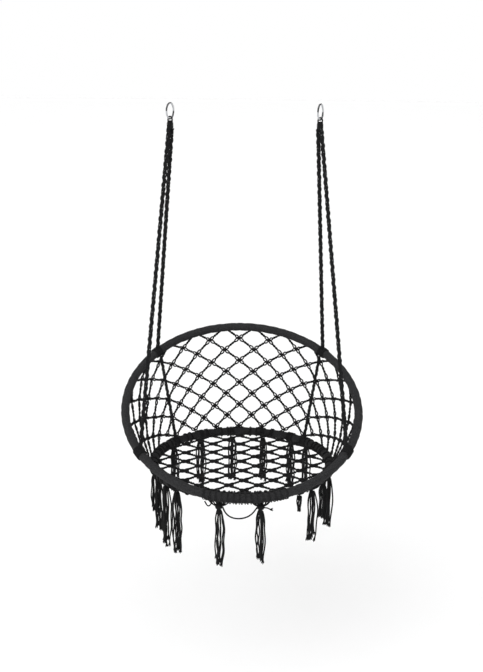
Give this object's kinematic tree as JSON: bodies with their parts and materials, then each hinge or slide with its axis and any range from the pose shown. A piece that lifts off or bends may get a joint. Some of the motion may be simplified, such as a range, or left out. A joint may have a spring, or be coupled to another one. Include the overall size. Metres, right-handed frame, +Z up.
{
  "type": "hanging hammock chair swing",
  "caption": "Hanging swing seat: a knotted cord net between a wide back ring and a smaller seat ring, hung by plaited ropes from steel rings, with cord tassels below.",
  "frame": {"origin": "midway between the two hanger rings, level with the inside top of each ring, where a hook bears", "axes": "+Z up, +Y towards the back of the chair, +X to the sitter's left, the right hand side seen from the front"},
  "size_m": [0.8, 0.7097, 1.4037],
  "materials": {
    "ring_wrap": "charcoal cotton cord wound close, matt",
    "net_cord": "black twisted cotton cord, matt",
    "rope": "black plaited cotton rope, matt",
    "tassel_cord": "loose black cords with frayed ends",
    "lashing_cord": "black cord wound tight",
    "ring_steel": "black powder coat under the cord",
    "hanger_steel": "polished plated steel"
  },
  "bodies": {
    "hangers": {"hanger_ring_left": "hanger_steel", "hanger_ring_right": "hanger_steel"},
    "rope_eyes": {"rope_eye_left": "rope", "rope_eye_right": "rope", "rope_whipping_left": "rope", "rope_whipping_right": "rope"},
    "ropes_left": {"front_rope_left": "rope", "rear_rope_left": "rope"},
    "ropes_right": {"front_rope_right": "rope", "rear_rope_right": "rope"},
    "chair": {"back_net": "net_cord", "back_ring_tube": "ring_steel", "back_ring_wrap": "ring_wrap", "front_hitch_left": "lashing_cord", "front_hitch_right": "lashing_cord", "front_knot_left": "lashing_cord", "front_knot_right": "lashing_cord", "front_lashing": "lashing_cord", "loose_cord": "lashing_cord", "rear_hitch_left": "lashing_cord", "rear_hitch_right": "lashing_cord", "rear_stay_left": "rope", "rear_stay_right": "rope", "seat_net": "net_cord", "seat_ring_tube": "ring_steel", "seat_ring_wrap": "ring_wrap", "stay_hitch_left": "lashing_cord", "stay_hitch_right": "lashing_cord", "tassel_hitches": "lashing_cord"},
    "tassel_back_1_swinging": {"tassel_back_1": "tassel_cord"},
    "tassel_back_2_swinging": {"tassel_back_2": "tassel_cord"},
    "tassel_back_3_swinging": {"tassel_back_3": "tassel_cord"},
    "tassel_back_4_swinging": {"tassel_back_4": "tassel_cord"},
    "tassel_back_5_swinging": {"tassel_back_5": "tassel_cord"},
    "tassel_back_6_swinging": {"tassel_back_6": "tassel_cord"},
    "tassel_front_1_swinging": {"tassel_front_1": "tassel_cord"},
    "tassel_front_2_swinging": {"tassel_front_2": "tassel_cord"},
    "tassel_left_1_swinging": {"tassel_left_1": "tassel_cord"},
    "tassel_left_2_swinging": {"tassel_left_2": "tassel_cord"},
    "tassel_left_3_swinging": {"tassel_left_3": "tassel_cord"},
    "tassel_left_4_swinging": {"tassel_left_4": "tassel_cord"},
    "tassel_right_1_swinging": {"tassel_right_1": "tassel_cord"},
    "tassel_right_2_swinging": {"tassel_right_2": "tassel_cord"},
    "tassel_right_3_swinging": {"tassel_right_3": "tassel_cord"},
    "tassel_right_4_swinging": {"tassel_right_4": "tassel_cord"}
  },
  "joints": [
    {"name": "swing", "type": "hinge", "parent": "hangers", "child": "rope_eyes", "pos_m": [0, 0, -0.04475], "axis": [1, 0, 0], "range_deg": [-30, 30]},
    {"name": "sway", "type": "hinge", "parent": "rope_eyes", "child": "ropes_left", "pos_m": [-0.232, 0, -0.07975], "axis": [0.0728, 0.9608, 0.2676], "range_deg": [-10, 10]},
    {"name": "sway_right_ropes", "type": "hinge", "parent": "rope_eyes", "child": "ropes_right", "pos_m": [0.232, 0, -0.07975], "axis": [-0.0728, 0.9608, 0.2676], "range_deg": [-10.5, 10.5]},
    {"name": "chair_levelling", "type": "hinge", "parent": "ropes_left", "child": "chair", "pos_m": [-0.32604, -0.17189, -1.04287], "axis": [0.0876, 0.8685, 0.4878], "range_deg": [-8.81, 8.81]},
    {"name": "tassel_back_1_hang", "type": "hinge", "parent": "chair", "child": "tassel_back_1_swinging", "pos_m": [-0.23207, 0.16601, -1.19223], "axis": [1, 0, 0], "range_deg": [-31, 31]},
    {"name": "tassel_back_2_hang", "type": "hinge", "parent": "chair", "child": "tassel_back_2_swinging", "pos_m": [-0.13826, 0.24472, -1.19123], "axis": [1, 0, 0], "range_deg": [-31, 31]},
    {"name": "tassel_back_3_hang", "type": "hinge", "parent": "chair", "child": "tassel_back_3_swinging", "pos_m": [-0.02567, 0.27808, -1.19123], "axis": [1, 0, 0], "range_deg": [-31, 31]},
    {"name": "tassel_back_4_hang", "type": "hinge", "parent": "chair", "child": "tassel_back_4_swinging", "pos_m": [0.0861, 0.26633, -1.19123], "axis": [1, 0, 0], "range_deg": [-31, 31]},
    {"name": "tassel_back_5_hang", "type": "hinge", "parent": "chair", "child": "tassel_back_5_swinging", "pos_m": [0.18131, 0.21677, -1.19123], "axis": [1, 0, 0], "range_deg": [-31, 31]},
    {"name": "tassel_back_6_hang", "type": "hinge", "parent": "chair", "child": "tassel_back_6_swinging", "pos_m": [0.23207, 0.16601, -1.19223], "axis": [1, 0, 0], "range_deg": [-31, 31]},
    {"name": "tassel_front_1_hang", "type": "hinge", "parent": "chair", "child": "tassel_front_1_swinging", "pos_m": [-0.08, -0.31506, -1.21023], "axis": [1, 0, 0], "range_deg": [-31, 31]},
    {"name": "tassel_front_2_hang", "type": "hinge", "parent": "chair", "child": "tassel_front_2_swinging", "pos_m": [0.048, -0.3209, -1.21023], "axis": [1, 0, 0], "range_deg": [-31, 31]},
    {"name": "tassel_left_1_hang", "type": "hinge", "parent": "chair", "child": "tassel_left_1_swinging", "pos_m": [-0.21185, -0.21988, -1.19123], "axis": [1, 0, 0], "range_deg": [-31, 31]},
    {"name": "tassel_left_2_hang", "type": "hinge", "parent": "chair", "child": "tassel_left_2_swinging", "pos_m": [-0.24975, -0.17136, -1.19123], "axis": [1, 0, 0], "range_deg": [-31, 31]},
    {"name": "tassel_left_3_hang", "type": "hinge", "parent": "chair", "child": "tassel_left_3_swinging", "pos_m": [-0.27306, -0.12562, -1.19123], "axis": [1, 0, 0], "range_deg": [-31, 31]},
    {"name": "tassel_left_4_hang", "type": "hinge", "parent": "chair", "child": "tassel_left_4_swinging", "pos_m": [-0.28806, -0.07653, -1.19123], "axis": [1, 0, 0], "range_deg": [-31, 31]},
    {"name": "tassel_right_1_hang", "type": "hinge", "parent": "chair", "child": "tassel_right_1_swinging", "pos_m": [0.1731, -0.25356, -1.19123], "axis": [1, 0, 0], "range_deg": [-31, 31]},
    {"name": "tassel_right_2_hang", "type": "hinge", "parent": "chair", "child": "tassel_right_2_swinging", "pos_m": [0.21538, -0.21615, -1.19123], "axis": [1, 0, 0], "range_deg": [-31, 31]},
    {"name": "tassel_right_3_hang", "type": "hinge", "parent": "chair", "child": "tassel_right_3_swinging", "pos_m": [0.25758, -0.15808, -1.19123], "axis": [1, 0, 0], "range_deg": [-31, 31]},
    {"name": "tassel_right_4_hang", "type": "hinge", "parent": "chair", "child": "tassel_right_4_swinging", "pos_m": [0.28163, -0.10141, -1.19123], "axis": [1, 0, 0], "range_deg": [-31, 31]}
  ],
  "couplings": [
    {"joint": "sway_right_ropes", "follows": "sway", "ratio": 1},
    {"joint": "chair_levelling", "follows": "sway", "ratio": -0.83132},
    {"joint": "tassel_back_1_hang", "follows": "swing", "ratio": -1},
    {"joint": "tassel_back_2_hang", "follows": "swing", "ratio": -1},
    {"joint": "tassel_back_3_hang", "follows": "swing", "ratio": -1},
    {"joint": "tassel_back_4_hang", "follows": "swing", "ratio": -1},
    {"joint": "tassel_back_5_hang", "follows": "swing", "ratio": -1},
    {"joint": "tassel_back_6_hang", "follows": "swing", "ratio": -1},
    {"joint": "tassel_front_1_hang", "follows": "swing", "ratio": -1},
    {"joint": "tassel_front_2_hang", "follows": "swing", "ratio": -1},
    {"joint": "tassel_left_1_hang", "follows": "swing", "ratio": -1},
    {"joint": "tassel_left_2_hang", "follows": "swing", "ratio": -1},
    {"joint": "tassel_left_3_hang", "follows": "swing", "ratio": -1},
    {"joint": "tassel_left_4_hang", "follows": "swing", "ratio": -1},
    {"joint": "tassel_right_1_hang", "follows": "swing", "ratio": -1},
    {"joint": "tassel_right_2_hang", "follows": "swing", "ratio": -1},
    {"joint": "tassel_right_3_hang", "follows": "swing", "ratio": -1},
    {"joint": "tassel_right_4_hang", "follows": "swing", "ratio": -1}
  ]
}
